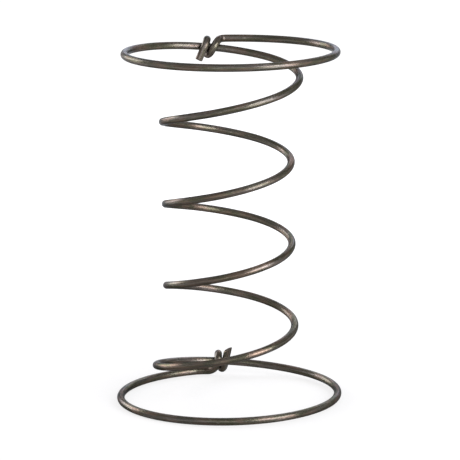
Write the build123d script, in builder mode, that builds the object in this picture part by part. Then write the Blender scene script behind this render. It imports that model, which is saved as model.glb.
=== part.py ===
from build123d import *
from math import cos, exp, log, radians, sin, sqrt, tan
import os

# Hourglass coil spring of a sofa seat: one length of round steel wire.
# Each end of the coil widens into a level ring, and the end of the wire is wound round
# the coil where it leaves the ring, so that the ring is closed by a knot.
# Millimetres. The lower ring lies on Z = 0 and is centred on the Z axis. The knots are at
# the rear, towards +Y. Azimuths are in degrees, anticlockwise from +X seen from above.

# The wire and the overall size
wire_diameter = 3.77
free_height = 177.8
top_ring_outside = 113.2
bottom_ring_outside = 115.1

# The coil between the knots, which goes down clockwise seen from above
whole_turns = 4
waist_outside = 67.2
waist_flare = 5.5
coil_shift = 11.2

# Where each knot stands, and how the coil runs into its ring there
top_knot_azimuth = 100.3
bottom_knot_azimuth = 97.7
knot_inset = 2.2
top_knot_slack = 0.4
bottom_knot_slack = 1.4
top_level_run = 2.9
bottom_level_run = 4.6
ring_corner = 20

# The end of the wire, wound round the coil: it bends in from its ring, slants into its first
# turn, lies side by side with it in the second, and ends in a short straight cut tail
wrap_clearance = 0.1
wrap_gap = 0.3
top_wrap_lean = 0.76
bottom_wrap_lean = -0.1
wrap_turns = 1.25
wrap_offset = 7.0
top_slant_length = 1.9
bottom_slant_length = 0.6
slant_angle = 140
first_wrap_angle = 68
top_ring_end_run = 0.2
bottom_ring_end_run = 3.5
top_knot_reach = 7.4
bottom_knot_reach = 9.9
top_tail_length = 7.1
bottom_tail_length = 7.3
bottom_cut_slant = 38
cut_edge = 0.35

# How finely the centre line is divided into arcs
arcs_per_turn = 6
wrap_arc_angle = 70
step = 0.0001

wire_radius = wire_diameter / 2
top_ring_radius = top_ring_outside / 2 - wire_radius
bottom_ring_radius = bottom_ring_outside / 2 - wire_radius
waist_radius = waist_outside / 2 - wire_radius
ring_spacing = free_height - wire_diameter
mid_height = free_height / 2
coil_turns = whole_turns + (top_knot_azimuth - bottom_knot_azimuth) / 360
mid_turn = coil_turns / 2
wrap_radius = wire_diameter + wrap_clearance
wrap_pitch = wire_diameter + wrap_gap
off_the_plane = (Align.CENTER, Align.CENTER, Align.MIN)


def ramp(x, width):
    """Zero for a low x, x for a high one, with a smooth bend of this width between them."""
    return width * log(1 + exp(x / width))


def ramp_start(height, width):
    """The x at which the ramp has risen to this height."""
    return width * log(exp(height / width) - 1)


def ring_reach(azimuth, ring_radius):
    """Distance from the coil's axis, which stands behind the ring's centre, to the ring's circle."""
    angle = radians(azimuth)
    return sqrt(ring_radius ** 2 - (coil_shift * cos(angle)) ** 2) - coil_shift * sin(angle)


def rounded_lower(a, b):
    """The smaller of two radii, with a rounded corner where they cross."""
    return (a ** -ring_corner + b ** -ring_corner) ** (-1 / ring_corner)


def flare_size(azimuth, ring_radius):
    """How much wider than its waist the coil is at a knot, to lie inside its ring there."""
    reach = ring_reach(azimuth, ring_radius)
    coil = reach - knot_inset
    return (coil ** -ring_corner - reach ** -ring_corner) ** (-1 / ring_corner) - waist_radius


top_flare = flare_size(top_knot_azimuth, top_ring_radius)
bottom_flare = flare_size(bottom_knot_azimuth, bottom_ring_radius)
top_drop = ramp_start(wire_diameter + top_knot_slack, top_level_run)
bottom_drop = ramp_start(wire_diameter + bottom_knot_slack, bottom_level_run)
coil_pitch = (ring_spacing - top_drop - bottom_drop) / coil_turns


def wire_point(turn):
    """The wire's centre line, this many turns of the coil below the top knot."""
    azimuth = top_knot_azimuth - 360 * turn
    above = turn < mid_turn
    flare = top_flare if above else bottom_flare
    ring_radius = top_ring_radius if above else bottom_ring_radius
    opening = waist_radius + flare * abs(turn / mid_turn - 1) ** waist_flare
    reach = rounded_lower(opening, ring_reach(azimuth, ring_radius))
    drop = ramp(coil_pitch * turn + top_drop, top_level_run)
    rise = ramp(coil_pitch * (turn - coil_turns) - bottom_drop, bottom_level_run)
    height = ring_spacing / 2 - drop + rise
    x = reach * cos(radians(azimuth))
    y = coil_shift + reach * sin(radians(azimuth))
    return Vector(x, y, mid_height + height)


def wire_speed(turn):
    """Way along the centre line for each turn, as a vector."""
    return (wire_point(turn + step) - wire_point(turn - step)) / (2 * step)


def wrap_run(angle, wrap_lean, slant_length):
    """How far along the coil the end of the wire has come, at this angle round it."""
    side_by_side = wrap_pitch * angle / 360 - wrap_lean * cos(radians(angle))
    return wrap_offset + side_by_side - slant_length * exp(-angle / slant_angle)


def wrap_point(angle, knot_turn, side, knot_reach, wrap_lean, slant_length):
    """The end of the wire round the coil, at this angle from the side where its ring is."""
    back = knot_reach - wrap_run(angle, wrap_lean, slant_length)
    turn = knot_turn + side * back / wire_speed(knot_turn).length
    forward = wire_speed(turn).normalized()
    up = Vector(0, 0, side)
    over = (up - forward * up.dot(forward)).normalized()
    inward = forward.cross(over) * side
    around = over * cos(radians(angle)) + inward * sin(radians(angle))
    return wire_point(turn) + around * wrap_radius


def wrap_stations(*knot):
    """Points and headings along one knot, from its ring to the end of its last turn."""
    last = 360 * wrap_turns
    count = round((last - first_wrap_angle) / wrap_arc_angle)
    stations = []
    for index in range(count + 1):
        angle = first_wrap_angle + (last - first_wrap_angle) * index / count
        ahead = wrap_point(angle + 1, *knot) - wrap_point(angle - 1, *knot)
        stations.append((wrap_point(angle, *knot), ahead.normalized()))
    return stations


def coil_stations():
    """Points and headings from the end of the top ring, down the coil, to the end of the lower one."""
    first = -1 + (top_knot_reach + top_ring_end_run) / wire_speed(-1).length
    last = coil_turns + 1 - (bottom_knot_reach + bottom_ring_end_run) / wire_speed(coil_turns + 1).length
    count = round((last - first) * arcs_per_turn)
    turns = [first + (last - first) * index / count for index in range(count + 1)]
    return [(wire_point(turn), wire_speed(turn).normalized()) for turn in turns]


def tangent_arcs(start, start_heading, end, end_heading):
    """Two arcs, tangent to each other and to both headings."""
    span = end - start
    both = start_heading + end_heading
    spread = 4 - both.dot(both)
    reach = (sqrt(span.dot(both) ** 2 + spread * span.dot(span)) - span.dot(both)) / spread
    corner_in = start + start_heading * reach
    corner_out = end - end_heading * reach
    middle = (corner_in + corner_out) / 2
    TangentArc(start, middle, tangent=start_heading)
    TangentArc(middle, end, tangent=corner_out - corner_in)


def slanted_cut(tip, heading, knot_turn, slant):
    """The plane of a cut through the tip, whose long corner is on the forward side."""
    forward = wire_speed(knot_turn)
    aside = (forward - heading * forward.dot(heading)).normalized()
    return Plane(origin=tip, z_dir=heading * cos(radians(slant)) - aside * sin(radians(slant)))


top_wrap = wrap_stations(0, 1, top_knot_reach, top_wrap_lean, top_slant_length)
bottom_wrap = wrap_stations(coil_turns, -1, bottom_knot_reach, bottom_wrap_lean, bottom_slant_length)
stations = [(point, heading * -1) for point, heading in reversed(top_wrap)] + coil_stations() + bottom_wrap
top_tip = stations[0][0] - stations[0][1] * top_tail_length
bottom_tip, bottom_heading = stations[-1][0] + stations[-1][1] * bottom_tail_length, stations[-1][1]
long_corner = bottom_tip + bottom_heading * wire_radius * tan(radians(bottom_cut_slant))
bottom_cut = slanted_cut(bottom_tip, bottom_heading, coil_turns, bottom_cut_slant)

with BuildPart() as spring_wire:
    with BuildLine() as centre_line:
        Line(top_tip, stations[0][0])
        for near, far in zip(stations, stations[1:]):
            tangent_arcs(*near, *far)
        Line(stations[-1][0], long_corner)
    with BuildSketch(Plane(origin=top_tip, z_dir=stations[0][1])):
        Circle(wire_radius)
    sweep(path=centre_line.wire())
    with Locations(bottom_cut):
        Cylinder(wire_diameter, wire_diameter, align=off_the_plane, mode=Mode.SUBTRACT)
    chamfer(spring_wire.faces().filter_by(GeomType.PLANE).edges(), cut_edge)

spring_wire.part.label = "spring_wire"
os.makedirs("parts", exist_ok=True)
export_step(spring_wire.part, "parts/spring_wire.step")
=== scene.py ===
"""The finish of a sofa spring: drawn steel wire with a thin dark skin, in a pale studio.

The wire that this scene loads already has the spring's true shape, so it stays as it is. The
script works out how far along and round the wire each of its points lies, and gives it a
material whose drawing lines, stains, rubbed marks and cut ends follow the wire round every
bend, as they do on the real one. Where strands lie close in the knots, painted shade darkens it.
"""
import heapq
from math import atan2, cos, floor, pi, radians, sin, tau

import bpy
import numpy as np
from mathutils import Matrix, Vector, kdtree

# The photograph, and the camera that took it
PHOTO_WIDTH_PX = 460
FOCAL_LENGTH_PX = 3300
SENSOR_WIDTH_MM = 36
CAMERA_DISTANCE = 1.65
CAMERA_ELEVATION = radians(10.998)
CAMERA_ROLL = radians(-0.812)
CAMERA_AIM = Vector((0.0006, 0, 0.08665))

# The wire, how finely its centre line is followed, and the length that holds a cut end
WIRE_NODE = "spring_wire"
WIRE_RADIUS = 0.001885
WIRE_STEP = 0.0005
CUT_END = 0.007

# How far a patch may face from its seam's mean before the seam is an edge
SEAM_TURN = radians(8)

# How near another strand the painted shade and grime lie, how far along the wire that strand is at
# least, and how tight a bend shows the tool, smoothed over a few steps of the line
CREVICE_GAP = 0.0012
NEIGHBOUR_WAY = 0.012
TIGHT_BEND = 0.0075
WIDE_BEND = 0.02
SMOOTHED_STEPS = 9

# The bake map: the straightened wire cut into strips that lie side by side
STRIP_COUNT = 11
STRIP_MARGIN = 0.0012
STRIP_END_MARGIN = 0.006

# The floor: how much of the lamps' light it returns, how brightly it shows under the spring and
# far off, and from where to where it brightens, seen straight and seen in the wire
FLOOR_SIZE = 12
FLOOR_WHITE = 0.3
FLOOR_OWN_LIGHT = 0.75
MIRRORED_FLOOR_LIGHT = 0.25
BACKDROP_OWN_LIGHT = 0.98
BRIGHTENING = (0.05, 0.5)
MIRRORED_BRIGHTENING = (0.15, 0.6)

# The air: its plain light from all round, and how it dims towards the ceiling, seen in the wire
AMBIENT = 0.32
CEILING = 0.6
CEILING_ELEVATION = radians(35)

# The wire's colours, as linear light
OLIVE_SKIN = (0.100, 0.096, 0.065)
BROWN_SKIN = (0.156, 0.117, 0.090)
GREY_STREAK = (0.152, 0.142, 0.136)
RUBBED_STEEL = (0.30, 0.27, 0.245)
# Painted shade: near black, laid where strands lie close in the knots, in patches like grime
SHADE_AND_GRIME = (0.022, 0.018, 0.014)
BARE_STEEL = (0.17, 0.155, 0.135)
EDGE_SHEEN = (0.34, 0.36, 0.385)

# How strongly the grain shades and covers the skin, and the range that holds nearly all of it
GRAIN_RANGE = (0.3, 0.7)
DIE_LINE_SHADE = (0.8, 1.2)
BAND_SHADE = (0.68, 1.32)
STREAK_COVER = 0.7
RUBBED_COVER = 0.6
WORKED_RUBBING = 0.03
# How much patch noise breaks up the painted shade and grime between strands
SHADE_AND_GRIME_PATCHES = 0.5

# How the wire shines
METALLIC = 0.95
ANISOTROPY = 0.75
SKIN_ROUGHNESS = (0.24, 0.42)
STAIN_ROUGHENING = 0.05
RUBBED_SMOOTHING = 0.06
SHADE_AND_GRIME_ROUGHNESS = 0.6
CUT_ROUGHNESS = (0.3, 0.5)

# How deep the marks are, in millimetres, and how far out the cut face reaches, as shares of the
# wire's radius
DIE_LINE_DEPTH = 0.012
STREAK_DEPTH = 0.012
WAVE_DEPTH = 0.05
SPECK_DEPTH = 0.014
TEAR_DEPTH = 0.04
CUT_FACE_RIM = (0.86, 0.95)


def welded(places, tolerance=1e-6):
    """The first vertex at each separate place, and for every vertex the number of its place.

    The vertices that meet at a seam have the same number.
    """
    rounded = np.round(places / tolerance).astype(np.int64)
    _, first, number = np.unique(rounded, axis=0, return_index=True, return_inverse=True)
    return first, number.ravel()


def ways_between(triangles, points):
    """For each point, the points that share a triangle's side with it, and how far off they are."""
    sides = np.vstack([triangles[:, pair] for pair in ((0, 1), (1, 2), (2, 0))])
    sides = np.unique(np.sort(sides, axis=1), axis=0)
    steps = np.linalg.norm(points[sides[:, 0]] - points[sides[:, 1]], axis=1)
    ways = [[] for _ in points]
    for (near, far), step in zip(sides.tolist(), steps.tolist()):
        ways[near].append((far, step))
        ways[far].append((near, step))
    return ways


def lengths_from(start, ways):
    """How far every point is from the start, by the shortest chain of ways."""
    far = [float("inf")] * len(ways)
    far[start] = 0.0
    queue = [(0.0, start)]
    while queue:
        length, here = heapq.heappop(queue)
        if length > far[here]:
            continue
        for there, step in ways[here]:
            if length + step < far[there]:
                far[there] = length + step
                heapq.heappush(queue, (length + step, there))
    return np.array(far)


def surface(mesh):
    """Every vertex's place, the way the surface faces there, and the vertices of the triangles."""
    places = np.empty(len(mesh.vertices) * 3)
    mesh.vertices.foreach_get("co", places)
    places = places.reshape(-1, 3)
    corners = np.empty(len(mesh.loops), int)
    mesh.loops.foreach_get("vertex_index", corners)
    normals = np.empty(len(mesh.loops) * 3)
    mesh.corner_normals.foreach_get("vector", normals)
    facing = np.zeros_like(places)
    np.add.at(facing, corners, normals.reshape(-1, 3))
    facing /= np.linalg.norm(facing, axis=1)[:, None]
    return places, facing, corners


def seamless_facing(mesh):
    """The way the surface faces at each vertex, the same on both sides of a seam.

    The surface is made of patches, each shaded by itself. Where two of them meet without an edge
    both take their mean, so that no seam shows across a highlight.
    """
    places, facing, _ = surface(mesh)
    first, number = welded(places)
    mean = np.zeros((len(first), 3))
    np.add.at(mean, number, facing)
    mean = mean[number]
    mean /= np.linalg.norm(mean, axis=1)[:, None]
    no_edge = (mean * facing).sum(axis=1) > cos(SEAM_TURN)
    return np.where(no_edge[:, None], mean, facing)


def wire_line(mesh):
    """The wire's centre line from its top end down, as points one step apart.

    Every point of the round surface lies one wire radius from the centre line, along its normal.
    The cut ends have other normals, so the line runs straight on to the middle of each end's
    points, as the tail that leads there is straight and has no points of its own.
    """
    places, facing, corners = surface(mesh)
    centres = places - facing * WIRE_RADIUS

    first, number = welded(places)
    centres = centres[first]
    ways = ways_between(number[corners].reshape(-1, 3), centres)
    one_end = int(np.argmax(lengths_from(0, ways)))
    along = lengths_from(one_end, ways)
    other_end = int(np.argmax(along))
    if centres[one_end][2] < centres[other_end][2]:
        along = along.max() - along

    round_part = (along > CUT_END) & (along < along.max() - CUT_END)
    shelf = (along[round_part] / WIRE_STEP).astype(int)
    count = np.bincount(shelf)
    used = count > 0
    sums = [np.bincount(shelf, centres[round_part, axis])[used] for axis in range(3)]
    line = np.stack(sums, axis=1) / count[used][:, None]
    top_tip = places[first][along <= CUT_END].mean(axis=0)
    bottom_tip = places[first][along >= along.max() - CUT_END].mean(axis=0)
    line = np.vstack([top_tip, line, bottom_tip])

    way = np.concatenate([[0], np.cumsum(np.linalg.norm(np.diff(line, axis=0), axis=1))])
    even = np.linspace(0, way[-1], round(way[-1] / WIRE_STEP))
    return np.stack([np.interp(even, way, line[:, axis]) for axis in range(3)], axis=1)


def bend_radii(line, forward):
    """The radius of the wire's bend at each point of its line, smoothed over a few steps."""
    turn = np.linalg.norm(np.gradient(forward, axis=0), axis=1)
    step = np.linalg.norm(np.gradient(line, axis=0), axis=1)
    window = np.ones(SMOOTHED_STEPS) / SMOOTHED_STEPS
    turn, step = np.convolve(turn, window, "same"), np.convolve(step, window, "same")
    return step / np.maximum(turn, 1e-9)


def straightened(mesh):
    """What the material needs to know of each vertex.

    These are its place in the frame of the straightened wire, with X and Y across it and Z along
    it, how deep in a crevice between two strands it lies, and how tightly the wire is bent there.
    """
    line = wire_line(mesh)
    steps = np.linalg.norm(np.diff(line, axis=0), axis=1)
    lengths = np.concatenate([[0], np.cumsum(steps)])
    forward = np.gradient(line, axis=0)
    forward /= np.linalg.norm(forward, axis=1)[:, None]
    side = np.empty_like(line)
    side[0] = np.cross(forward[0], (0, 0, 1))
    for index, way in enumerate(forward):
        carried = side[max(index - 1, 0)]
        carried = carried - way * way.dot(carried)
        side[index] = carried / np.linalg.norm(carried)
    over = np.cross(forward, side)
    tree = kdtree.KDTree(len(line))
    for index, point in enumerate(line):
        tree.insert(point, index)
    tree.balance()

    places = np.empty((len(mesh.vertices), 3))
    bend = np.interp(bend_radii(line, forward), (TIGHT_BEND, WIDE_BEND), (1, 0))
    worked = np.empty(len(mesh.vertices))
    crevice = np.zeros(len(mesh.vertices))
    for index, vertex in enumerate(mesh.vertices):
        near = tree.find(vertex.co)[1]
        offset = np.array(vertex.co) - line[near]
        places[index] = (offset.dot(side[near]), offset.dot(over[near]),
                         lengths[near] + offset.dot(forward[near]))
        worked[index] = bend[near]
        for _, other, distance in tree.find_range(vertex.co, WIRE_RADIUS + CREVICE_GAP):
            if abs(lengths[other] - lengths[near]) > NEIGHBOUR_WAY:
                crevice[index] = max(crevice[index], 1 - (distance - WIRE_RADIUS) / CREVICE_GAP)
    places[:, 2] -= places[:, 2].min()
    return places, np.clip(crevice, 0, 1), worked


def carry(mesh, name, kind, field, values):
    """Stores one value for each vertex of the mesh, under a name that its material reads."""
    carried = mesh.attributes.new(name, kind, "POINT")
    carried.data.foreach_set(field, values.astype(np.float32).ravel())


def lay_bake_map(mesh, places):
    """Lays the straightened wire out flat, as strips side by side, and fits them to the square.

    A triangle belongs to the strip that its middle is in, and is cut free of the others, so
    nothing of the wire overlaps.
    """
    strip_length = places[:, 2].max() / STRIP_COUNT
    strip_width = tau * WIRE_RADIUS + 2 * STRIP_MARGIN
    size = max(STRIP_COUNT * strip_width, strip_length + 2 * STRIP_END_MARGIN)
    layer = mesh.uv_layers.new(name="OFBake")
    flat = np.empty((len(mesh.loops), 2))
    for polygon in mesh.polygons:
        corners = list(polygon.loop_indices)
        at = [places[mesh.loops[corner].vertex_index] for corner in corners]
        middle = sum(at) / len(at)
        strip = min(floor(middle[2] / strip_length), STRIP_COUNT - 1)
        middle_angle = atan2(middle[1], middle[0])
        for corner, (x, y, along) in zip(corners, at):
            angle = atan2(y, x)
            angle = middle_angle + (angle - middle_angle + pi) % tau - pi
            u = strip * strip_width + STRIP_MARGIN + (angle + pi) * WIRE_RADIUS
            v = along - strip * strip_length + STRIP_END_MARGIN
            flat[corner] = (u / size, v / size)
    layer.data.foreach_set("uv", flat.astype(np.float32).ravel())


def socket_or_number(tree, value, target):
    """Feeds a node's socket from another one, or sets it to a number or colour."""
    if isinstance(value, bpy.types.NodeSocket):
        tree.links.new(value, target)
    else:
        target.default_value = value


def combined(tree, operation, *values):
    """The result of one operation on one value or more."""
    made = tree.nodes.new("ShaderNodeMath")
    made.operation = operation
    for value, target in zip(values, made.inputs):
        socket_or_number(tree, value, target)
    return made.outputs[0]


def between(tree, value, low, high, to_low=0.0, to_high=1.0):
    """A smooth step of the value from low to high."""
    made = tree.nodes.new("ShaderNodeMapRange")
    made.interpolation_type = "SMOOTHSTEP"
    for name, setting in (("Value", value), ("From Min", low), ("From Max", high),
                          ("To Min", to_low), ("To Max", to_high)):
        socket_or_number(tree, setting, made.inputs[name])
    return made.outputs["Result"]


def mixed(tree, factor, first, second):
    """The second colour laid over the first, as thickly as the factor says."""
    made = tree.nodes.new("ShaderNodeMix")
    made.data_type = "RGBA"
    socket_or_number(tree, factor, made.inputs[0])
    for value, target in ((first, made.inputs[6]), (second, made.inputs[7])):
        opaque = value if isinstance(value, bpy.types.NodeSocket) else (*value, 1)
        socket_or_number(tree, opaque, target)
    return made.outputs[2]


def effect(name, inputs, outputs):
    """A new node group with these sockets, each given as its name and kind."""
    group = bpy.data.node_groups.new(name, "ShaderNodeTree")
    for socket, kind in inputs.items():
        group.interface.new_socket(socket, in_out="INPUT", socket_type="NodeSocket" + kind)
    for socket, kind in outputs.items():
        group.interface.new_socket(socket, in_out="OUTPUT", socket_type="NodeSocket" + kind)
    given = group.nodes.new("NodeGroupInput").outputs
    out = group.nodes.new("NodeGroupOutput").inputs
    return group, given, out


def placed(tree, group, **values):
    """The outputs of an effect, set into a material or another effect with its own values."""
    made = tree.nodes.new("ShaderNodeGroup")
    made.node_tree = group
    for name, value in values.items():
        socket_or_number(tree, value, made.inputs[name.replace("_", " ").capitalize()])
    return made.outputs


def marks(tree, grain, place, across_mm, along_mm, detail):
    """Grain of this size, which a material or another effect uses at a place on the wire."""
    return placed(tree, grain, place=place, across=across_mm / 1000, along=along_mm / 1000,
                  detail=detail)["Value"]


def stretched_grain():
    """Noise drawn out along the wire: 0.5 on average, with marks of the given size in metres."""
    group, given, out = effect(
        "stretched_grain",
        {"Place": "Vector", "Across": "Float", "Along": "Float", "Detail": "Float"},
        {"Value": "Float"})
    size = group.nodes.new("ShaderNodeCombineXYZ")
    for axis, source in zip("XYZ", ("Across", "Across", "Along")):
        group.links.new(given[source], size.inputs[axis])
    scaled = group.nodes.new("ShaderNodeVectorMath")
    scaled.operation = "DIVIDE"
    group.links.new(given["Place"], scaled.inputs[0])
    group.links.new(size.outputs[0], scaled.inputs[1])
    noise = group.nodes.new("ShaderNodeTexNoise")
    noise.inputs["Scale"].default_value = 1
    group.links.new(scaled.outputs[0], noise.inputs["Vector"])
    group.links.new(given["Detail"], noise.inputs["Detail"])
    group.links.new(noise.outputs["Fac"], out["Value"])
    return group


def drawn_skin(grain):
    """The drawn surface: its stains, the lines of the drawing die, and the marks rubbed bright."""
    group, given, out = effect("drawn_skin", {"Place": "Vector", "Worked": "Float"},
                               {"Color": "Color", "Roughness": "Float", "Height": "Float"})

    def grained(across_mm, along_mm, detail):
        return marks(group, grain, given["Place"], across_mm, along_mm, detail)

    def share(value, factor):
        return combined(group, "MULTIPLY", value, factor)

    stain = between(group, grained(2.4, 8, 3), 0.4, 0.62)
    streak = between(group, grained(0.7, 24, 2), 0.42, 0.66)
    bands = grained(0.32, 16, 3)
    die_lines = grained(0.11, 14, 2)
    specks = grained(0.42, 0.8, 2)
    waves = grained(0.9, 3.5, 1)
    scuff = combined(group, "ADD", grained(0.45, 3.2, 3), share(given["Worked"], WORKED_RUBBING))
    rubbed = between(group, scuff, 0.6, 0.72)

    skin = mixed(group, stain, OLIVE_SKIN, BROWN_SKIN)
    skin = mixed(group, share(streak, STREAK_COVER), skin, GREY_STREAK)
    shade = combined(group, "MULTIPLY", between(group, die_lines, *GRAIN_RANGE, *DIE_LINE_SHADE),
                     between(group, bands, *GRAIN_RANGE, *BAND_SHADE))
    shaded = group.nodes.new("ShaderNodeVectorMath")
    shaded.operation = "SCALE"
    group.links.new(skin, shaded.inputs[0])
    group.links.new(shade, shaded.inputs["Scale"])
    skin = mixed(group, share(rubbed, RUBBED_COVER), shaded.outputs[0], RUBBED_STEEL)
    group.links.new(skin, out["Color"])

    rough = between(group, specks, *GRAIN_RANGE, *SKIN_ROUGHNESS)
    rough = combined(group, "ADD", rough, share(stain, STAIN_ROUGHENING))
    rough = combined(group, "SUBTRACT", rough, share(rubbed, RUBBED_SMOOTHING))
    group.links.new(rough, out["Roughness"])

    height = share(die_lines, DIE_LINE_DEPTH)
    for relief, depth in ((streak, STREAK_DEPTH), (waves, WAVE_DEPTH), (specks, SPECK_DEPTH)):
        height = combined(group, "MULTIPLY_ADD", relief, depth, height)
    group.links.new(height, out["Height"])
    return group


def sheared_face(grain):
    """A cut end: steel without its skin, torn and smeared across by the shear."""
    group, given, out = effect(
        "sheared_face", {"Place": "Vector"},
        {"Mask": "Float", "Color": "Color", "Roughness": "Float", "Height": "Float"})
    split = group.nodes.new("ShaderNodeSeparateXYZ")
    group.links.new(given["Place"], split.inputs[0])
    x, y, along = split.outputs
    squares = [combined(group, "MULTIPLY", side, side) for side in (x, y)]
    from_centre = combined(group, "SQRT", combined(group, "ADD", *squares))
    rim = [share * WIRE_RADIUS for share in CUT_FACE_RIM]
    group.links.new(between(group, from_centre, *rim, 1, 0), out["Mask"])

    turned = group.nodes.new("ShaderNodeCombineXYZ")
    for axis, source in zip("XYZ", (y, along, x)):
        group.links.new(source, turned.inputs[axis])
    tears = marks(group, grain, turned.outputs[0], across_mm=0.12, along_mm=1.6, detail=3)
    smear = marks(group, grain, given["Place"], across_mm=0.9, along_mm=0.9, detail=2)
    colour = mixed(group, between(group, smear, 0.4, 0.6), BARE_STEEL, BROWN_SKIN)
    group.links.new(colour, out["Color"])
    group.links.new(between(group, tears, *GRAIN_RANGE, *CUT_ROUGHNESS), out["Roughness"])
    group.links.new(combined(group, "MULTIPLY", tears, TEAR_DEPTH), out["Height"])
    return group


def new_material(name):
    """A material, and its tree of nodes with nothing in it but the output's surface."""
    material = bpy.data.materials.new(name)
    material.use_nodes = True
    material.node_tree.nodes.clear()
    out = material.node_tree.nodes.new("ShaderNodeOutputMaterial")
    return material, material.node_tree, out.inputs["Surface"]


def drawn_steel():
    """A dark skin over steel, with painted shade and grime in the knots, and bare at the cuts."""
    material, tree, surface_in = new_material("drawn_steel")

    def read(name, output):
        made = tree.nodes.new("ShaderNodeAttribute")
        made.attribute_name = name
        return made.outputs[output]

    grain = stretched_grain()
    place = read("wire_place", "Vector")
    skin = placed(tree, drawn_skin(grain), place=place, worked=read("worked", "Fac"))
    face = placed(tree, sheared_face(grain), place=place)
    patches = marks(tree, grain, place, across_mm=0.6, along_mm=1.2, detail=3)
    # Painted shade between strands: the colour goes near black and rougher where another strand
    # lies close, broken into patches like grime
    shade_and_grime = combined(tree, "MULTIPLY_ADD", patches, SHADE_AND_GRIME_PATCHES, read("crevice", "Fac"))
    shade_and_grime = between(tree, shade_and_grime, 0.45, 0.95)

    colour = mixed(tree, shade_and_grime, skin["Color"], SHADE_AND_GRIME)
    colour = mixed(tree, face["Mask"], colour, face["Color"])
    rough = between(tree, shade_and_grime, 0, 1, skin["Roughness"], SHADE_AND_GRIME_ROUGHNESS)
    rough = between(tree, face["Mask"], 0, 1, rough, face["Roughness"])
    height = between(tree, face["Mask"], 0, 1, skin["Height"], face["Height"])

    facing = tree.nodes.new("ShaderNodeVectorTransform")
    facing.vector_type = "NORMAL"
    facing.convert_from = "OBJECT"
    facing.convert_to = "WORLD"
    tree.links.new(read("seamless_facing", "Vector"), facing.inputs[0])
    relief = tree.nodes.new("ShaderNodeBump")
    relief.inputs["Strength"].default_value = 1
    relief.inputs["Distance"].default_value = 0.001
    tree.links.new(height, relief.inputs["Height"])
    tree.links.new(facing.outputs[0], relief.inputs["Normal"])

    metal = tree.nodes.new("ShaderNodeBsdfPrincipled")
    metal.inputs["Metallic"].default_value = METALLIC
    metal.inputs["Specular Tint"].default_value = (*EDGE_SHEEN, 1)
    metal.inputs["Anisotropic"].default_value = ANISOTROPY
    round_the_wire = tree.nodes.new("ShaderNodeTangent")
    round_the_wire.direction_type = "UV_MAP"
    round_the_wire.uv_map = "OFBake"
    tree.links.new(round_the_wire.outputs[0], metal.inputs["Tangent"])
    tree.links.new(colour, metal.inputs["Base Color"])
    tree.links.new(rough, metal.inputs["Roughness"])
    tree.links.new(relief.outputs[0], metal.inputs["Normal"])
    tree.links.new(metal.outputs[0], surface_in)
    return material


def finish_wire(wire):
    """Gives the wire its straightened coordinates, its bake map and its material."""
    places, crevice, worked = straightened(wire.data)
    carry(wire.data, "wire_place", "FLOAT_VECTOR", "vector", places)
    carry(wire.data, "crevice", "FLOAT", "value", crevice)
    carry(wire.data, "worked", "FLOAT", "value", worked)
    carry(wire.data, "seamless_facing", "FLOAT_VECTOR", "vector", seamless_facing(wire.data))
    lay_bake_map(wire.data, places)
    wire.material_slots[0].material = drawn_steel()


def shown_light(tree, straight, mirrored, otherwise):
    """One strength for what the camera sees straight, one for what it sees in a reflection or
    through glass, and one for all other light."""
    light = tree.nodes.new("ShaderNodeLightPath")
    seen = combined(tree, "MAXIMUM", light.outputs["Is Glossy Ray"],
                    light.outputs["Is Transmission Ray"])
    strength = between(tree, seen, 0, 1, otherwise, mirrored)
    return between(tree, light.outputs["Is Camera Ray"], 0, 1, strength, straight)


def studio_floor():
    """A pale floor that the spring stands on, with its soft shadow."""
    material, tree, surface_in = new_material("studio_white")
    paper = tree.nodes.new("ShaderNodeBsdfDiffuse")
    paper.inputs["Color"].default_value = (FLOOR_WHITE, FLOOR_WHITE, FLOOR_WHITE, 1)
    own = tree.nodes.new("ShaderNodeEmission")
    way = tree.nodes.new("ShaderNodeTexCoord")
    out_from_spring = tree.nodes.new("ShaderNodeVectorMath")
    out_from_spring.operation = "LENGTH"
    tree.links.new(way.outputs["Object"], out_from_spring.inputs[0])
    far = out_from_spring.outputs["Value"]
    shown = between(tree, far, *BRIGHTENING, FLOOR_OWN_LIGHT, BACKDROP_OWN_LIGHT)
    mirrored = between(tree, far, *MIRRORED_BRIGHTENING, MIRRORED_FLOOR_LIGHT, BACKDROP_OWN_LIGHT)
    tree.links.new(shown_light(tree, shown, mirrored, 0), own.inputs["Strength"])
    both = tree.nodes.new("ShaderNodeAddShader")
    tree.links.new(paper.outputs[0], both.inputs[0])
    tree.links.new(own.outputs[0], both.inputs[1])
    tree.links.new(both.outputs[0], surface_in)

    half = FLOOR_SIZE / 2
    mesh = bpy.data.meshes.new("studio_floor")
    mesh.from_pydata([(-half, -half, 0), (half, -half, 0), (half, half, 0), (-half, half, 0)],
                     [], [(0, 1, 2, 3)])
    mesh.materials.append(material)
    ground = bpy.data.objects.new("studio_floor", mesh)
    bpy.context.scene.collection.objects.link(ground)


def studio_air():
    """White wherever the camera looks past the floor, and a plain soft light from all round."""
    world = bpy.data.worlds.new("studio_air")
    bpy.context.scene.world = world
    world.use_nodes = True
    tree = world.node_tree
    tree.nodes.clear()
    way = tree.nodes.new("ShaderNodeTexCoord")
    split = tree.nodes.new("ShaderNodeSeparateXYZ")
    tree.links.new(way.outputs["Generated"], split.inputs[0])
    mirrored = between(tree, split.outputs["Z"], 0, sin(CEILING_ELEVATION), 1, CEILING)
    air = tree.nodes.new("ShaderNodeBackground")
    tree.links.new(shown_light(tree, 1, mirrored, AMBIENT), air.inputs["Strength"])
    out = tree.nodes.new("ShaderNodeOutputWorld")
    tree.links.new(air.outputs[0], out.inputs["Surface"])


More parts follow.
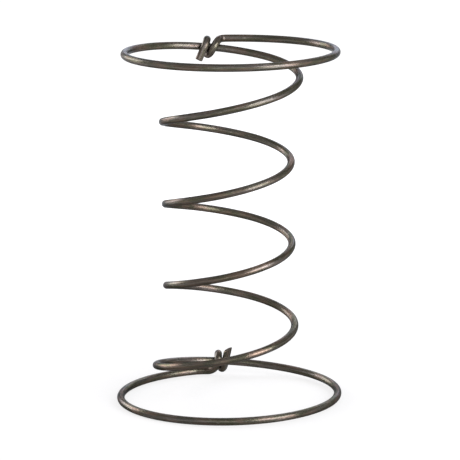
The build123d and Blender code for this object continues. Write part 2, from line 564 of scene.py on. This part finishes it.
def softbox(name, azimuth, elevation, distance, width, height, radiance, colour):
    """A lamp with a flat face, aimed at the middle of the spring."""
    lamp = bpy.data.lights.new(name, "AREA")
    lamp.color = colour
    lamp.shape = "RECTANGLE"
    lamp.size, lamp.size_y = width, height
    lamp.energy = radiance * pi * width * height
    box = bpy.data.objects.new(name, lamp)
    turn, lift = radians(azimuth), radians(elevation)
    out = Vector((cos(turn) * cos(lift), sin(turn) * cos(lift), sin(lift)))
    box.location = CAMERA_AIM + out * distance
    box.rotation_euler = out.to_track_quat("Z", "Y").to_euler()
    bpy.context.scene.collection.objects.link(box)


def photo_camera():
    """The photograph's view, from the front and a little above, with its slight tilt."""
    lens = bpy.data.cameras.new("photo_camera")
    lens.sensor_width = SENSOR_WIDTH_MM
    lens.lens = FOCAL_LENGTH_PX / PHOTO_WIDTH_PX * SENSOR_WIDTH_MM
    camera = bpy.data.objects.new("photo_camera", lens)
    back = Vector((0, -cos(CAMERA_ELEVATION), sin(CAMERA_ELEVATION)))
    camera.matrix_world = (Matrix.Translation(CAMERA_AIM + back * CAMERA_DISTANCE)
                           @ Matrix.Rotation(pi / 2 - CAMERA_ELEVATION, 4, "X")
                           @ Matrix.Rotation(CAMERA_ROLL, 4, "Z"))
    bpy.context.scene.collection.objects.link(camera)
    bpy.context.scene.camera = camera


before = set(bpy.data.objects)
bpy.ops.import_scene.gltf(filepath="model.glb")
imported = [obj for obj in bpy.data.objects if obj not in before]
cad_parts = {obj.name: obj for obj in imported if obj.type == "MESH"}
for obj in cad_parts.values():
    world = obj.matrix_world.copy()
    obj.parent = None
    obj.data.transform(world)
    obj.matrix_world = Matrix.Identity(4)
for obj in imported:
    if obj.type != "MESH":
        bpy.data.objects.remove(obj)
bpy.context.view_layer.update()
bpy.context.scene.view_settings.view_transform = "Standard"

finish_wire(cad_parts[WIRE_NODE])
photo_camera()
studio_air()
studio_floor()
softbox("right_softbox", azimuth=-41, elevation=15, distance=1.1, width=0.8, height=0.72,
        radiance=7.5, colour=(1, 0.962, 1))
softbox("left_softbox", azimuth=138, elevation=16, distance=1.1, width=0.75, height=0.55,
        radiance=6.1, colour=(1, 0.962, 0.985))
softbox("rear_softbox", azimuth=80, elevation=25, distance=1.1, width=0.8, height=0.55,
        radiance=3.4, colour=(0.82, 0.85, 1))
softbox("front_softbox", azimuth=-98, elevation=17, distance=2.2, width=1.6, height=0.9,
        radiance=1.3, colour=(1, 0.985, 0.96))
